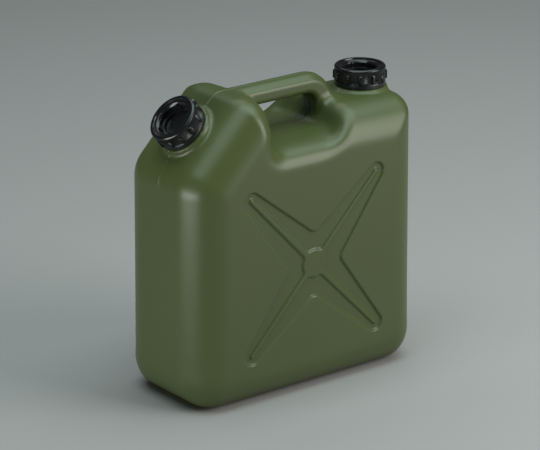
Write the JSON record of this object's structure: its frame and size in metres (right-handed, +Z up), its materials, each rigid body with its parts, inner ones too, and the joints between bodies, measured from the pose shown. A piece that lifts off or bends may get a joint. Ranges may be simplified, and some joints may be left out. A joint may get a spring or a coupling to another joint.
{
  "type": "fuel can",
  "caption": "Upright blow-moulded fuel can with an open carry handle, a slanted pouring neck, a filler neck, screw caps and pressed crosses on its broad faces.",
  "frame": {"origin": "centre of the base, on the surface the can stands on", "axes": "+X along the length towards the filler closure, -X towards the pouring closure, +Y across the depth, +Z up"},
  "size_m": [0.3001, 0.1396, 0.3252],
  "materials": {
    "tank_plastic": "olive green moulded polyethylene, satin, faintly grained",
    "cap_plastic": "black, glossy",
    "band_plastic": "black, glossy",
    "seal_rubber": "grey, soft, matt"
  },
  "bodies": {
    "tank": {"tank_shell": "tank_plastic", "pour_cap_band": "band_plastic", "filler_cap_band": "band_plastic"},
    "pour_seal_body": {"pour_cap_seal": "seal_rubber"},
    "pour_cap_body": {"pour_cap": "cap_plastic"},
    "filler_seal_body": {"filler_cap_seal": "seal_rubber"},
    "filler_cap_body": {"filler_cap": "cap_plastic"}
  },
  "joints": [
    {"name": "pour_cap_lift", "type": "slide", "parent": "tank", "child": "pour_seal_body", "axis": [-0.7071, 0, 0.7071], "range_m": [0, 0.009]},
    {"name": "pour_cap_turn", "type": "hinge", "parent": "pour_seal_body", "child": "pour_cap_body", "pos_m": [-0.11492, 0, 0.29166], "axis": [-0.7071, 0, 0.7071], "range_deg": [0, 720]},
    {"name": "filler_cap_lift", "type": "slide", "parent": "tank", "child": "filler_seal_body", "axis": [0, 0, 1], "range_m": [0, 0.009]},
    {"name": "filler_cap_turn", "type": "hinge", "parent": "filler_seal_body", "child": "filler_cap_body", "pos_m": [0.1164, 0, 0.2965], "axis": [0, 0, 1], "range_deg": [0, 720]}
  ],
  "couplings": [
    {"joint": "pour_cap_lift", "follows": "pour_cap_turn", "m_per_rad": 0.0007162},
    {"joint": "filler_cap_lift", "follows": "filler_cap_turn", "m_per_rad": 0.0007162}
  ]
}
